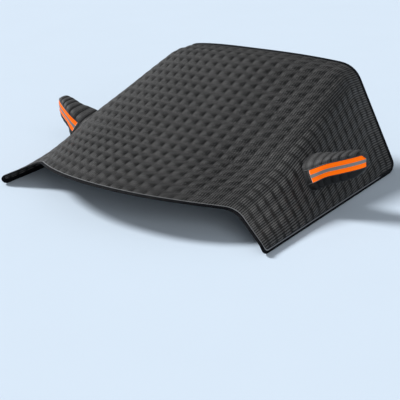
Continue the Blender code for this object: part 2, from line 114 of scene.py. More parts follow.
def makeSheetTable():
    # places of the sheet by row along it and by distance from its centre line
    line = centreLine()
    run = runLengths(line)
    rows = np.linspace(0, run[-1], drape["tableRows"])
    centres = [np.interp(rows, run, line[:, axis]) for axis in range(2)]
    sections = [halfSection(t / run[-1], y, z) for t, y, z in zip(rows, *centres)]
    half = np.array([section[2] for section in sections])
    across = np.arange(0, half.max() + drape["margin"], drape["tableStep"])
    table = np.array([[np.interp(across, section[1], section[0][:, axis]) for axis in range(3)]
                      for section in sections]).transpose(0, 2, 1)
    inside = table[:, :, 1][across[None, :] <= half[:, None]]
    table[:, :, 1] -= (inside.min() + inside.max()) / 2
    table[:, :, 2] += drape["edgeFold"]
    return {"length": run[-1], "rows": rows, "half": half, "across": across, "table": table}


sheet = makeSheetTable()


def halfWidth(t):
    return np.interp(t, sheet["rows"], sheet["half"])


def sheetPoint(s, t):
    s, t = np.broadcast_arrays(np.asarray(s, float), np.clip(np.asarray(t, float), 0, sheet["length"]))
    row = np.clip(t / sheet["rows"][1], 0, drape["tableRows"] - drape["lastCell"])
    column = np.clip(np.abs(s) / drape["tableStep"], 0, len(sheet["across"]) - drape["lastCell"])
    i, j = row.astype(int), column.astype(int)
    a, b = (row - i)[..., None], (column - j)[..., None]
    table = sheet["table"]
    place = (table[i, j] * (1 - b) + table[i, j + 1] * b) * (1 - a)
    place = place + (table[i + 1, j] * (1 - b) + table[i + 1, j + 1] * b) * a
    place[..., 0] *= np.where(s < 0, -1, 1)
    return place


def sheetNormal(s, t):
    step = drape["normalStep"]
    across = sheetPoint(s + step, t) - sheetPoint(s - step, t)
    ahead = sheetPoint(s, np.minimum(t + step, sheet["length"])) - sheetPoint(s, np.maximum(t - step, 0))
    normal = np.cross(across, ahead)
    return normal / np.linalg.norm(normal, axis=-1, keepdims=True)


def raised(s, t, height):
    return sheetPoint(s, t) + sheetNormal(s, t) * np.asarray(height)[..., None]


def outlineHalfWidth(t):
    # half width of the cut sheet, with its round corners
    radius = drape["cornerRadius"]
    nearEnd = np.minimum(t, sheet["length"] - t)
    inCorner = np.clip(radius - nearEnd, 0, radius)
    return halfWidth(t) - radius + np.sqrt(radius ** 2 - inCorner ** 2)


def smooth(k):
    k = np.clip(k, 0, 1)
    return k * k * (3 - 2 * k)


def smoothBetween(value, stops):
    return smooth((value - stops[0]) / (stops[1] - stops[0]))


def ripple(s, t, waves):
    # slow unevenness from a few crossed waves, the same on every run
    total = np.zeros(np.broadcast(s, t).shape)
    for scale, turn, phase, amount in waves:
        total += amount * np.sin((s * math.cos(turn) + t * math.sin(turn)) * scale + phase)
    return total


# Meshes
mergeDistance = 0.00002
cordSide = (0.05, 0.1, 1.0)  # no cord runs along this direction


def makePiece(name, points, faces, flat=None, sharpAngle=60, turnOut=False):
    mesh = bpy.data.meshes.new(name)
    mesh.from_pydata(points.tolist() if hasattr(points, "tolist") else points, [], faces)
    if flat is not None:
        layer = mesh.uv_layers.new(name="flatCloth")
        corners = np.zeros(len(mesh.loops), int)
        mesh.loops.foreach_get("vertex_index", corners)
        layer.data.foreach_set("uv", np.asarray(flat)[corners].astype(np.float32).ravel())
    shape = bmesh.new()
    shape.from_mesh(mesh)
    bmesh.ops.remove_doubles(shape, verts=shape.verts, dist=mergeDistance)
    bmesh.ops.dissolve_degenerate(shape, edges=shape.edges, dist=mergeDistance)
    loose = [v for v in shape.verts if not v.link_faces]
    bmesh.ops.delete(shape, geom=loose, context="VERTS")
    if turnOut:
        bmesh.ops.recalc_face_normals(shape, faces=shape.faces)
    shape.to_mesh(mesh)
    shape.free()
    mesh.shade_smooth()
    mesh.set_sharp_from_angle(angle=math.radians(sharpAngle))
    piece = bpy.data.objects.new(name, mesh)
    bpy.context.scene.collection.objects.link(piece)
    return piece


def dress(piece, slotName, material, *nodes):
    piece.data.materials.clear()
    piece.data.materials.append(material)
    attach(piece, "root")
    if nodes:
        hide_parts(*nodes)
    return piece


def gridFaces(rows, columns, closed=False, first=0):
    faces = []
    last = columns if closed else columns - 1
    for i in range(rows - 1):
        for j in range(last):
            a, b = first + i * columns + j, first + i * columns + (j + 1) % columns
            faces.append((a, b, b + columns, a + columns))
    return faces


def tubeAlong(points, radius, sides=8):
    # a round cord along a line of points, closed at both ends
    points = np.asarray(points)
    tangent = np.gradient(points, axis=0)
    tangent /= np.linalg.norm(tangent, axis=1)[:, None]
    side = np.cross(tangent, cordSide)
    side /= np.linalg.norm(side, axis=1)[:, None]
    up = np.cross(side, tangent)
    turns = np.arange(sides) * 2 * math.pi / sides
    ring = side[:, None] * np.cos(turns)[None, :, None] + up[:, None] * np.sin(turns)[None, :, None]
    body = (points[:, None] + ring * radius).reshape(-1, 3)
    faces = gridFaces(len(points), sides, closed=True)
    faces.append(tuple(range(sides - 1, -1, -1)))
    faces.append(tuple(range(len(body) - sides, len(body))))
    return body, faces


def joined(parts):
    points, faces, count = [], [], 0
    for body, bodyFaces in parts:
        points.append(body)
        faces += [tuple(count + corner for corner in face) for face in bodyFaces]
        count += len(body)
    return np.vstack(points), faces


# Shader helpers
def feed(tree, socket, value):
    if isinstance(value, bpy.types.NodeSocket):
        tree.links.new(value, socket)
    else:
        socket.default_value = value


def calc(tree, operation, *values):
    node = tree.nodes.new("ShaderNodeMath")
    node.operation = operation
    for socket, value in zip(node.inputs, values):
        feed(tree, socket, value)
    return node.outputs[0]


def plus(tree, first, second):
    return calc(tree, "ADD", first, second)


def minus(tree, first, second):
    return calc(tree, "SUBTRACT", first, second)


def times(tree, first, second):
    return calc(tree, "MULTIPLY", first, second)


def withTerms(tree, base, terms):
    # the base plus each value times its share
    for value, share in terms:
        base = plus(tree, times(tree, value, share), base)
    return base


def splitPlace(tree, place):
    split = tree.nodes.new("ShaderNodeSeparateXYZ")
    tree.links.new(place, split.inputs[0])
    return split.outputs[0], split.outputs[1]


def ramp(tree, value, low, high, start=0.0, end=1.0):
    node = tree.nodes.new("ShaderNodeMapRange")
    amounts = {"Value": value, "From Min": low, "From Max": high, "To Min": start, "To Max": end}
    for name, amount in amounts.items():
        feed(tree, node.inputs[name], amount)
    return node.outputs[0]


def softRamp(tree, value, low, high, start=0.0, end=1.0):
    result = ramp(tree, value, low, high, start, end)
    result.node.interpolation_type = "SMOOTHSTEP"
    return result


def mixColour(tree, factor, first, second):
    node = tree.nodes.new("ShaderNodeMix")
    node.data_type = "RGBA"
    for socket, value in ((node.inputs[0], factor), (node.inputs[6], first), (node.inputs[7], second)):
        feed(tree, socket, value)
    return node.outputs[2]


def noiseAt(tree, place, scale, stretch=(1, 1, 1)):
    mapping = tree.nodes.new("ShaderNodeMapping")
    mapping.inputs["Scale"].default_value = stretch
    feed(tree, mapping.inputs["Vector"], place)
    noise = tree.nodes.new("ShaderNodeTexNoise")
    noise.inputs["Scale"].default_value = scale
    noise.inputs["Detail"].default_value = 2.0
    tree.links.new(mapping.outputs[0], noise.inputs["Vector"])
    return noise.outputs[0]


def newGroup(name, inputs, outputs):
    tree = bpy.data.node_groups.new(name, "ShaderNodeTree")
    for socketName, kind, value in inputs:
        socket = tree.interface.new_socket(socketName, in_out="INPUT", socket_type=kind)
        if value is not None:
            socket.default_value = value
    for socketName in outputs:
        tree.interface.new_socket(socketName, in_out="OUTPUT", socket_type="NodeSocketFloat")
    return tree, tree.nodes.new("NodeGroupInput").outputs, tree.nodes.new("NodeGroupOutput").inputs


def placeGroup(tree, group, **values):
    node = tree.nodes.new("ShaderNodeGroup")
    node.node_tree = group
    for name, value in values.items():
        feed(tree, node.inputs[name], value)
    return node.outputs


# Effects that the materials share; widths inside a quilting square are shares of its pitch
# the dash and row widths shape painted shade in the seams
effects = {"threadRoundness": 0.4, "puckerReach": 0.24, "creaseScale": 95.0, "creaseStretch": 0.16,
           "threadWidth": 0.010, "threadShare": 0.72, "dashAlong": (0.18, 0.42), "dashAcross": (0.02, 0.155),
           "rowWidth": (0.02, 0.30), "toneScales": (3.0, 90.0), "ribShares": (0.36, 0.14)}


def makeWeaveGroup():
    # plain weave: threads that run over and under each other, Height 0 to 1
    tree, given, result = newGroup("wovenThreads", [("Place", "NodeSocketVector", None),
                                                    ("Pitch", "NodeSocketFloat", 0.001)], ["Height"])
    waves = []
    for run in splitPlace(tree, given["Place"]):
        turns = calc(tree, "DIVIDE", run, given["Pitch"])
        waves.append(calc(tree, "SINE", times(tree, turns, math.pi)))
    warp, weft = (calc(tree, "ABSOLUTE", wave) for wave in waves)
    isWarp = calc(tree, "GREATER_THAN", times(tree, *waves), 0.0)
    isWeft = minus(tree, 1.0, isWarp)
    over = times(tree, warp, calc(tree, "POWER", weft, effects["threadRoundness"]))
    under = times(tree, weft, calc(tree, "POWER", warp, effects["threadRoundness"]))
    feed(tree, result["Height"], plus(tree, times(tree, isWarp, over), times(tree, isWeft, under)))
    return tree


def makeQuiltGroup():
    # square quilting: Across and Down shape a pillow, Pucker and Thread lie at its stitches; the last two are
    # painted shade: a dark stretch of each side seam between rows, and a dark valley along each seam across
    tree, given, result = newGroup("quiltSeams", [("Place", "NodeSocketVector", None),
                                                  ("Pitch", "NodeSocketFloat", 0.078),
                                                  ("Stitch", "NodeSocketFloat", 0.005)],
                                   ["Pucker", "Thread", "Across", "Down", "PaintedDashShade", "PaintedRowShade"])
    runs = splitPlace(tree, given["Place"])
    shares = [calc(tree, "FRACT", calc(tree, "DIVIDE", run, given["Pitch"])) for run in runs]
    fromSide, fromMiddle = (calc(tree, "ABSOLUTE", minus(tree, share, 0.5)) for share in shares)
    fromRow = minus(tree, 0.5, fromMiddle)
    narrow = effects["creaseStretch"]
    puckers, threads = [], []
    for distance, stretch, run in ((fromSide, (narrow, 1, 1), runs[1]), (fromRow, (1, narrow, 1), runs[0])):
        near = ramp(tree, distance, 0.0, effects["puckerReach"], 1.0, 0.0)
        crease = noiseAt(tree, given["Place"], effects["creaseScale"], stretch)
        puckers.append(times(tree, times(tree, near, near), crease))
        stitch = calc(tree, "FRACT", calc(tree, "DIVIDE", run, given["Stitch"]))
        onLine = calc(tree, "LESS_THAN", distance, effects["threadWidth"])
        threads.append(times(tree, onLine, calc(tree, "LESS_THAN", stitch, effects["threadShare"])))
    feed(tree, result["Pucker"], plus(tree, *puckers))
    feed(tree, result["Thread"], calc(tree, "MAXIMUM", *threads))
    for name, distance in (("Across", fromSide), ("Down", fromRow)):
        feed(tree, result[name], calc(tree, "SINE", times(tree, distance, math.pi)))
    # painted shade along the middle stretch of each side seam
    feed(tree, result["PaintedDashShade"], times(tree, softRamp(tree, fromMiddle, *effects["dashAlong"], 1.0, 0.0),
                                     softRamp(tree, fromSide, *effects["dashAcross"], 1.0, 0.0)))
    # painted shade in the valley of each seam across
    feed(tree, result["PaintedRowShade"], softRamp(tree, fromRow, *effects["rowWidth"], 1.0, 0.0))
    return tree


def makeToneGroup():
    # uneven dye and wear, about 0.5 on average
    tree, given, result = newGroup("unevenTone", [("Place", "NodeSocketVector", None),
                                                  ("Grain", "NodeSocketFloat", 1.0)], ["Tone"])
    broad, close = (noiseAt(tree, given["Place"], scale) for scale in effects["toneScales"])
    feed(tree, result["Tone"], plus(tree, broad, times(tree, minus(tree, close, 0.5), given["Grain"])))
    return tree


def makeRibGroup():
    # fine ribs along the cloth, crossed by weaker ones, Height 0 to 1
    tree, given, result = newGroup("fineRibs", [("Place", "NodeSocketVector", None),
                                                ("Pitch", "NodeSocketFloat", 0.009)], ["Height"])
    waves = []
    for run in splitPlace(tree, given["Place"]):
        turns = calc(tree, "DIVIDE", run, given["Pitch"])
        waves.append(calc(tree, "COSINE", times(tree, turns, 2 * math.pi)))
    feed(tree, result["Height"], withTerms(tree, 0.5, zip(waves, effects["ribShares"])))
    return tree


weaveGroup = makeWeaveGroup()
ribGroup = makeRibGroup()
quiltGroup = makeQuiltGroup()
toneGroup = makeToneGroup()


def startMaterial(name, look, flat=True):
    material = bpy.data.materials.new(name)
    material.use_nodes = True
    tree = material.node_tree
    shader = tree.nodes["Principled BSDF"]
    shader.inputs["Roughness"].default_value = look["roughness"]
    shader.inputs["Specular IOR Level"].default_value = look.get("gloss", 0.5)
    shader.inputs["Sheen Weight"].default_value = look.get("sheen", 0.0)
    shader.inputs["Sheen Roughness"].default_value = 0.5
    if flat:
        source = tree.nodes.new("ShaderNodeUVMap")
        source.uv_map = "flatCloth"
        place = source.outputs[0]
    else:
        place = tree.nodes.new("ShaderNodeTexCoord").outputs["Object"]
    return material, tree, shader, place


def clothGrain(tree, place, look):
    fine = placeGroup(tree, weaveGroup, Place=place, Pitch=look["threadPitch"])["Height"]
    coarse = placeGroup(tree, ribGroup, Place=place, Pitch=look["ribPitch"])["Height"]
    tone = placeGroup(tree, toneGroup, Place=place, Grain=look["grain"])["Tone"]
    return fine, coarse, tone


def addBump(tree, shader, height, distance):
    bump = tree.nodes.new("ShaderNodeBump")
    bump.inputs["Distance"].default_value = distance
    bump.inputs["Strength"].default_value = 1.0
    feed(tree, bump.inputs["Height"], height)
    tree.links.new(bump.outputs[0], shader.inputs["Normal"])


# Shades are parts of the step from dark to light; small bumps are multiples of threadBump
# the flap lift is painted light; the hem shade and the dash and row shares are painted shade
quiltCloth = {"dark": (0.0080, 0.0080, 0.0083, 1), "light": (0.1000, 0.0992, 0.0985, 1), "middle": 0.105,
              "roughness": 0.66, "wear": (0.2, 0.8, 0.58, 0.74), "sheen": 0.03, "gloss": 0.22, "grain": 3.4,
              "threadPitch": 0.0011, "ribPitch": 0.0141, "shoulder": (0.66, 0.86), "ribbed": (0.42, 0.78),
              "nearHem": (0.98, 1.26), "calmEnd": (0.0, 0.26), "calmShare": 0.35, "toneShare": 0.62,
              "ribShare": 0.65, "flapRibShare": 2.20, "paintedDashShare": 0.36, "paintedRowShare": 1.35, "rowAtSeam": 0.35,
              "paintedFlapLight": 0.43, "paintedHemShade": 0.26, "pillowBump": 0.0125, "flapBump": 0.60,
              "threadBump": 0.0012, "puckerBump": 0.4, "ribBump": 1.2, "weaveBump": 0.10, "stitchBump": 0.12}


def makeQuiltCloth(pitch):
    look = quiltCloth
    material, tree, shader, place = startMaterial("quiltCloth", look)
    seams = placeGroup(tree, quiltGroup, Place=place, Pitch=pitch)
    fine, coarse, tone = clothGrain(tree, place, look)
    runAcross, runDown = splitPlace(tree, place)
    fromMiddle = calc(tree, "ABSOLUTE", runAcross)
    fromEnd = calc(tree, "MINIMUM", runDown, minus(tree, sheet["length"], runDown))
    calm = softRamp(tree, fromEnd, *look["calmEnd"], look["calmShare"], 1.0)
    onFlap = softRamp(tree, fromMiddle, *look["shoulder"])
    onTop = minus(tree, 1.0, onFlap)
    # painted shade: the flaps darker towards the hem, where shade falls
    nearHem = softRamp(tree, fromMiddle, *look["nearHem"])
    # painted shade in the valleys of the seams across, used on the flaps
    rows = times(tree, seams["PaintedRowShade"], ramp(tree, seams["Across"], 0.0, 1.0, look["rowAtSeam"], 1.0))
    # painted shade on the side seams, on the top only
    paintedDashes = times(tree, times(tree, seams["PaintedDashShade"], onTop), calm)
    ribShare = softRamp(tree, fromMiddle, *look["ribbed"], look["ribShare"], look["flapRibShare"])
    ribs = times(tree, minus(tree, coarse, 0.5), ribShare)
    # painted light: the flaps are lifted lighter
    shade = withTerms(tree, look["middle"], (
        (minus(tree, tone, 0.5), look["toneShare"]), (ribs, 1.0), (onFlap, look["paintedFlapLight"]),
        (nearHem, -look["paintedHemShade"]), (paintedDashes, -look["paintedDashShare"]),
        (times(tree, rows, onFlap), -look["paintedRowShare"])))
    feed(tree, shader.inputs["Base Color"], mixColour(tree, shade, look["dark"], look["light"]))
    feed(tree, shader.inputs["Roughness"], ramp(tree, tone, *look["wear"]))
    across = calc(tree, "POWER", seams["Across"], plus(tree, onFlap, 1.0))
    down = calc(tree, "POWER", seams["Down"], plus(tree, onTop, 1.0))
    bulge = look["pillowBump"] / look["threadBump"]
    bulges = ramp(tree, onFlap, 0.0, 1.0, bulge, bulge * look["flapBump"])
    pillows = times(tree, times(tree, times(tree, across, down), bulges), calm)
    height = withTerms(tree, pillows, (
        (seams["Pucker"], look["puckerBump"]), (coarse, look["ribBump"]),
        (fine, look["weaveBump"]), (seams["Thread"], look["stitchBump"])))
    addBump(tree, shader, height, look["threadBump"])
    return material


# The quilted cover; stops are places in a quilting square, as shares of its pitch
cover = {"pitch": 0.078, "pillowRise": 0.0072, "valleyRise": 0.0015, "liningRise": 0.0045, "sharp": 0.9,
         "soft": 2.0, "flapRise": 0.34, "flapFade": (0.50, 0.72), "edgeThickness": 0.0024,
         "faceStops": (0, 0.035, 0.09, 0.17, 0.28, 0.39, 0.5, 0.61, 0.72, 0.83, 0.91, 0.965),
         "liningStops": (0, 0.25, 0.5, 0.75), "leastStep": 0.0005, "rimFade": 0.030, "seamFade": 0.022,
         "seamSnap": 0.045, "openUnder": 0.999, "waveRise": 0.0008, "unevenness": 0.12,
         "waves": ((9, 0.4, 1.0, 0.5), (14, 1.9, 2.2, 0.3), (23, 2.7, 0.3, 0.2))}

pocket = {"share": 0.445, "aboveHem": 0.253, "rootLength": 0.200, "rootHeight": 0.166, "tipLength": 0.105,
          "tipHeight": 0.157, "reach": 1.152, "sweep": 0.080, "rise": 0.085, "thickness": 0.004,
          "turnIn": 0.006, "frontSquareness": 3.8, "backSquareness": 2.4, "bluntStart": 7, "bluntPower": 0.4,
          "flareShare": 0.45, "ribs": 6, "ribRise": 0.0038, "ribsStart": 0.04, "ribsEnd": 0.88,
          "ribPower": 0.6, "ribsOffTape": (0.004, 0.016), "wrapStart": 0.2, "backPoints": 12,
          "highestLevel": 0.9, "sides": 96, "endStart": 0.9, "wallRows": 100, "endRows": 26,
          "endGaps": (0.095, 0.00002), "hiddenLap": (-0.02, -0.01)}
tapes = {"width": 0.070, "silverWidth": 0.019, "raise": 0.012, "fromFlap": 0.029, "fromTip": 0.0018,
         "lift": 0.0004, "thickness": 0.0006, "rows": 60, "endRows": 14, "endFrom": 0.905, "columns": 11,
         # the end colour is a painted highlight at the tape's flap end
         "endLine": 0.0015, "paintedEndHighlight": (0.62, 0.50, 0.42, 1)}


def pocketMiddle():
    # where the pockets sit on the cut sheet
    t = pocket["share"] * sheet["length"]
    return halfWidth(t) - pocket["aboveHem"], t


def fromPocketSeam(s, t):
    # 1 on the seam of the nearer pocket, less inside it
    middleS, middleT = pocketMiddle()
    up = np.abs(np.abs(s) - middleS) / (pocket["rootHeight"] / 2)
    ahead = np.abs(t - middleT) / (pocket["rootLength"] / 2)
    power = np.where(t < middleT, pocket["frontSquareness"], pocket["backSquareness"])
    return (up ** power + ahead ** power) ** (1 / power)


def pillowStops(low, high, offset, shares):
    first = math.floor((low - offset) / cover["pitch"])
    last = math.ceil((high - offset) / cover["pitch"])
    stops = [offset + (k + share) * cover["pitch"] for k in range(first, last + 1) for share in shares]
    inside = [stop for stop in stops if low + cover["leastStep"] < stop < high - cover["leastStep"]]
    return np.array([low] + inside + [high])


def quiltHeight(s, t, rise):
    onFlap = smoothBetween(np.abs(s), quiltCloth["shoulder"])
    gain = cover["soft"] - cover["sharp"]
    across = np.abs(np.cos(np.pi * s / cover["pitch"])) ** (cover["sharp"] + gain * onFlap)
    down = np.abs(np.sin(np.pi * t / cover["pitch"])) ** (cover["soft"] - gain * onFlap)
    fromRim = np.minimum(np.minimum(t, sheet["length"] - t), outlineHalfWidth(t) - np.abs(s))
    low = smoothBetween(np.abs(s), cover["flapFade"])
    fade = smooth(fromRim / cover["rimFade"]) * (1 - (1 - cover["flapRise"]) * low)
    fade = fade * smooth((fromPocketSeam(s, t) - 1) * pocket["rootHeight"] / 2 / cover["seamFade"])
    uneven = 1 + cover["unevenness"] * ripple(s, t, cover["waves"])
    return cover["edgeThickness"] / 2 + fade * ((rise - cover["valleyRise"]) * across * down * uneven)


def makeCoverFace(name, shares, rise, direction):
    # a grid on the stitch lines, snapped to the pockets' seams and open inside them; openUnder is just
    # below 1, so that faces with all corners on a seam stay
    widest = sheet["half"].max()
    columns = pillowStops(-widest, widest, cover["pitch"] / 2, shares)
    rows = pillowStops(0, sheet["length"], 0, shares)
    t = np.repeat(rows[:, None], len(columns), axis=1)
    s = np.clip(columns[None, :], -outlineHalfWidth(t), outlineHalfWidth(t))
    seam = fromPocketSeam(s, t)
    middleS, middleT = pocketMiddle()
    middleS = np.sign(s) * middleS
    onSeam = np.abs(seam - 1) < cover["seamSnap"]
    s = np.where(onSeam, middleS + (s - middleS) / seam, s)
    t = np.where(onSeam, middleT + (t - middleT) / seam, t)
    height = quiltHeight(s, t, rise)
    sway = cover["waveRise"] * ripple(s, t, cover["waves"])
    points = raised(s, t, direction * height + sway).reshape(-1, 3)
    seam = fromPocketSeam(s, t).ravel()
    faces = []
    for face in gridFaces(len(rows), len(columns)):
        if seam[list(face)].mean() > cover["openUnder"]:
            faces.append(face if direction > 0 else face[::-1])
    return makePiece(name, points, faces, np.stack([s.ravel(), t.ravel()], 1))


quiltMaterial = makeQuiltCloth(cover["pitch"])
coverFace = dress(makeCoverFace("cover_face", cover["faceStops"], cover["pillowRise"], 1),
                  "quilt", quiltMaterial, "quilted_cover")
coverLining = dress(makeCoverFace("cover_lining", cover["liningStops"], cover["liningRise"], -1),
                    "quilt", quiltMaterial)
print("quilted cover made:", len(coverFace.data.polygons), "faces")

# The binding folded over the edge; bands are measured over the tape, hem bands from the end of a straight hem
# the lit band and the hood hem's brighter band are painted highlights; the dark fold and the all-dark roof
# hem are painted shade
binding = {"width": 0.025, "gap": 0.0003, "thickness": 0.0009, "bulge": 0.0044, "crestLean": 1.02,
           "crestPower": 0.7, "underBulge": 0.3, "tipPower": 0.5, "tipTurns": (30, 60, 90, 120, 150),
           "stations": 900, "cornerStations": 30, "sideStations": 200, "topSteps": 9, "underSteps": 6,
           "roughness": 0.55, "wear": (0.3, 0.7, 0.48, 0.64), "gloss": 0.04, "ribPitch": 0.0014, "grain": 0.8,
           "pullScale": 70.0, "pullStretch": (1, 0.2, 1), "toneShare": 0.6, "ribShare": 0.3, "bump": 0.0007,
           "litBand": (0.0042, 0.0082), "bandEdge": 0.0015, "paintedFoldShade": (0.0088, 0.0115),
           "paintedRoofShadeBand": (0.0, 0.030), "hoodHemBand": (-0.080, 0.0),
           "dark": (0.004, 0.005, 0.007, 1), "light": (0.034, 0.039, 0.050, 1),
           "fold": (0.004, 0.0045, 0.006, 1), "paintedHighlight": (0.190, 0.196, 0.208, 1),
           "paintedHoodHighlight": (0.38, 0.39, 0.40, 1)}
stitches = {"inset": 0.0036, "pitch": 0.0048, "length": 0.0034, "radius": 0.00042,
            "rise": (-0.8, 0.5, 0.9, 0.5, -0.8), "roughness": 0.55, "twistScale": 900.0, "bump": 0.0003,
            "dark": (0.054, 0.054, 0.057, 1), "light": (0.090, 0.090, 0.095, 1)}


def coverOutline():
    # evenly spaced points round the cut edge, anticlockwise from the middle of the hood hem
    radius, length = drape["cornerRadius"], sheet["length"]
    corner = np.linspace(0, radius, binding["cornerStations"]) ** 2 / radius
    straight = np.linspace(radius, length - radius, binding["sideStations"])[1:-1]
    t = np.concatenate([corner, straight, length - corner[::-1]])
    side = np.stack([outlineHalfWidth(t), t], 1)
    right = np.vstack([[[0, 0]], side, [[0, length]]])
    loop = np.vstack([right, right[-2:0:-1] * [-1, 1], right[:1]])
    run = runLengths(sheetPoint(loop[:, 0], loop[:, 1]))
    stops = np.linspace(0, run[-1], binding["stations"], endpoint=False)
    return np.stack([np.interp(stops, run, loop[:, 0]), np.interp(stops, run, loop[:, 1])], 1), run[-1]


outline, hemLength = coverOutline()


def inwardOf(loop):
    tangent = np.roll(loop, -1, axis=0) - np.roll(loop, 1, axis=0)
    tangent /= np.linalg.norm(tangent, axis=1)[:, None]
    return np.stack([-tangent[:, 1], tangent[:, 0]], 1)


towards = inwardOf(outline)


def edgePlace(depth, height):
    # a line round the hem, at a depth in from the cut edge and a height off the sheet
    flat = outline + towards * max(depth, 0)
    place = raised(flat[:, 0], flat[:, 1], np.full(len(flat), height))
    if depth < 0:
        probe = outline + towards * drape["normalStep"]
        wayIn = sheetPoint(probe[:, 0], probe[:, 1]) - sheetPoint(outline[:, 0], outline[:, 1])
        place = place + wayIn / np.linalg.norm(wayIn, axis=1)[:, None] * depth
    return place


def crestHeight(k):
    # the padded top of the tape: k is 0 at the cut edge and 1 at the tape's inner edge
    outer = cover["edgeThickness"] / 2 + binding["gap"] + binding["thickness"]
    share = math.sin(math.pi * min(k * binding["crestLean"], 1))
    return outer + binding["bulge"] * share ** binding["crestPower"]


def makeBinding():
    width, gap, inner = binding["width"], binding["gap"], cover["edgeThickness"] / 2 + binding["gap"]
    outer, fold = inner + binding["thickness"], gap + binding["thickness"]
    section = [(width * k, crestHeight(k)) for k in np.linspace(1, 0, binding["topSteps"])]
    for turn in np.radians(binding["tipTurns"]):
        section.append((-fold * math.sin(turn) ** binding["tipPower"], outer * math.cos(turn)))
    for k in np.linspace(0, 1, binding["underSteps"]):
        section.append((width * k, -outer - binding["bulge"] * binding["underBulge"] * math.sin(math.pi * k)))
    section += [(width, -inner), (gap, -inner), (gap, inner), (width, inner)]
    lap = runLengths(np.array(section))
    rings = np.stack([edgePlace(depth, height) for depth, height in section], 1)
    rings = np.concatenate([rings, rings[:1]])
    count, size = rings.shape[:2]
    around = np.linspace(0, hemLength, count)
    flat = np.stack([np.repeat(around[:, None], size, 1), np.repeat(lap[None], count, 0)], 2)
    faces = gridFaces(count, size, closed=True)
    return makePiece("hem_binding", rings.reshape(-1, 3), faces, flat.reshape(-1, 2), 50)


def hemBand(t, band):
    # a band's ends as distances from the middle of the hem at t
    return [float(halfWidth(t)) + end for end in band]


def makeBindingTape():
    # painted highlight on the crest, brightest along the hood hem; painted shade on the fold and on all the
    # roof hem
    material, tree, shader, place = startMaterial("bindingTape", binding)
    around, lap = splitPlace(tree, place)
    rib = calc(tree, "ABSOLUTE", calc(tree, "SINE", times(tree, around, math.pi / binding["ribPitch"])))
    tone = placeGroup(tree, toneGroup, Place=place, Grain=binding["grain"])["Tone"]
    pull = noiseAt(tree, place, binding["pullScale"], binding["pullStretch"])
    fromRoof = calc(tree, "ABSOLUTE", minus(tree, around, hemLength / 2))
    fromHood = minus(tree, hemLength / 2, fromRoof)
    offPaintedRoofShade = softRamp(tree, fromRoof, *hemBand(sheet["length"], binding["paintedRoofShadeBand"]))
    offHood = softRamp(tree, fromHood, *hemBand(0.0, binding["hoodHemBand"]))
    # painted highlight: a lit band on the crest, brighter along the hood hem
    start, end = binding["litBand"]
    onBand = times(tree, softRamp(tree, lap, start - binding["bandEdge"], start),
                   softRamp(tree, lap, end, end + binding["bandEdge"], 1.0, 0.0))
    shade = plus(tree, times(tree, tone, binding["toneShare"]), times(tree, rib, binding["ribShare"]))
    # painted shade: all the roof hem is darkened, and so is the fold past the crest
    colour = mixColour(tree, times(tree, shade, offPaintedRoofShade), binding["dark"], binding["light"])
    colour = mixColour(tree, softRamp(tree, lap, *binding["paintedFoldShade"]), colour, binding["fold"])
    paintedHighlight = mixColour(tree, offHood, binding["paintedHoodHighlight"], binding["paintedHighlight"])
    feed(tree, shader.inputs["Base Color"], mixColour(tree, times(tree, onBand, offPaintedRoofShade), colour, paintedHighlight))
    feed(tree, shader.inputs["Roughness"], ramp(tree, pull, *binding["wear"]))
    addBump(tree, shader, plus(tree, times(tree, rib, binding["ribShare"]), pull), binding["bump"])
    return material


def makeCord(name, look):
    # thread or piping, uneven with the twist of its strands
    material, tree, shader, place = startMaterial(name, look, flat=False)
    twist = noiseAt(tree, place, look["twistScale"])
    feed(tree, shader.inputs["Base Color"], mixColour(tree, twist, look["dark"], look["light"]))
    addBump(tree, shader, twist, look["bump"])
    return material


def stitchesAlong(points, normals):
    # short thread stitches, low in the cloth at both ends
    length, radius = stitches["length"], stitches["radius"]
    rise = np.array(stitches["rise"])
    run = runLengths(points)
    parts = []
    for start in np.arange(0, run[-1] - length, stitches["pitch"]):
        at = start + length * np.linspace(0, 1, len(rise))
        middle = np.stack([np.interp(at, run, points[:, axis]) for axis in range(3)], 1)
        up = np.array([np.interp(start, run, normals[:, axis]) for axis in range(3)])
        middle += up * radius * rise[:, None]
        parts.append(tubeAlong(middle, radius, sides=5))
    return joined(parts)


bindingMaterial = makeBindingTape()
threadMaterial = makeCord("bindingThread", stitches)
hemBinding = dress(makeBinding(), "binding", bindingMaterial, "edge_binding")


def makeHemStitches():
    k = 1 - stitches["inset"] / binding["width"]
    line = edgePlace(binding["width"] * k, crestHeight(k))
    flat = outline + towards * binding["width"]
    points, faces = stitchesAlong(line, sheetNormal(flat[:, 0], flat[:, 1]))
    return makePiece("hem_stitches", points, faces)


hemStitches = dress(makeHemStitches(), "binding", threadMaterial)
print("binding made:", round(hemLength, 2), "m round the edge")


# The mirror pockets
def pocketShape(level, halfHeight):
    # a corner on the front of the section, as shares of its half length and half height
    up = np.clip(np.asarray(level) / halfHeight, -pocket["highestLevel"], pocket["highestLevel"])
    return -(1 - np.abs(up) ** pocket["frontSquareness"]) ** (1 / pocket["frontSquareness"]), up


def turnedShape(turn):
    c, s = np.cos(turn), np.sin(turn)
    power = np.where(c < 0, pocket["frontSquareness"], pocket["backSquareness"])
    size = (np.abs(c) ** power + np.abs(s) ** power) ** (-1 / power)
    return c * size, s * size


def rootBase(a, b, inset, depth):
    # the section at the flap, laid on the sheet at a depth below it
    s, t = pocketMiddle()
    rootS = s - b * (pocket["rootHeight"] / 2 - inset)
    rootT = t + a * (pocket["rootLength"] / 2 - inset)
    return raised(rootS, rootT, np.full(np.shape(rootS), depth))


